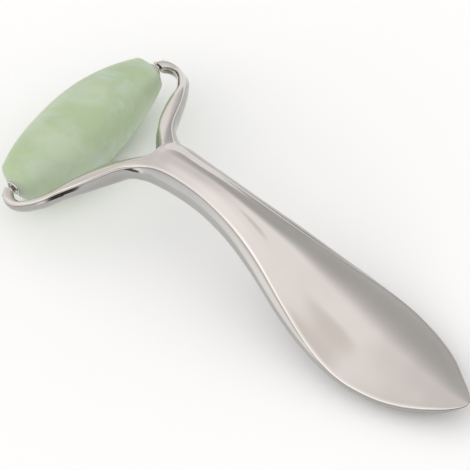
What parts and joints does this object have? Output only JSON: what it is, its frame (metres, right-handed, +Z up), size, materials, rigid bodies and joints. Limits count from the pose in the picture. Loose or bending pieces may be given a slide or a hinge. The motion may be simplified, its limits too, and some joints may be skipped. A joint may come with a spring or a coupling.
{
  "type": "facial massage roller",
  "caption": "Barrel-shaped pale green stone roller that spins freely between the two hooked arms of a polished forked handle with a slim neck and a leaf-shaped paddle grip.",
  "frame": {"origin": "on the table, under the middle of the part's length, width and height box, with the part lying on the stone and the paddle", "axes": "+X along the roller's axis, +Y from the tip of the handle to the roller, +Z up, out of the domed front"},
  "size_m": [0.0536, 0.1408, 0.0274],
  "materials": {
    "plated_front": "polished nickel plating on a zinc casting, softly hazed",
    "plated_back": "polished nickel plating on a zinc casting",
    "plated_trim": "bright nickel plating",
    "steel": "ground steel",
    "jade": "satin polished pale green stone, cloudy and slightly translucent",
    "bush_plastic": "natural white nylon"
  },
  "bodies": {
    "handle": {"front_shell": "plated_front", "back_shell": "plated_back", "shell_dowels": "steel", "left_pivot_pin": "steel", "right_pivot_pin": "steel", "left_spacer": "plated_trim", "right_spacer": "plated_trim"},
    "roller": {"jade_roller": "jade", "left_bush": "bush_plastic", "right_bush": "bush_plastic", "left_end_cap": "plated_trim", "right_end_cap": "plated_trim"}
  },
  "joints": [
    {"name": "roller_spin", "type": "hinge", "parent": "handle", "child": "roller", "pos_m": [0, 0.06062, 0.00975], "axis": [1, 0, 0], "continuous": true}
  ]
}
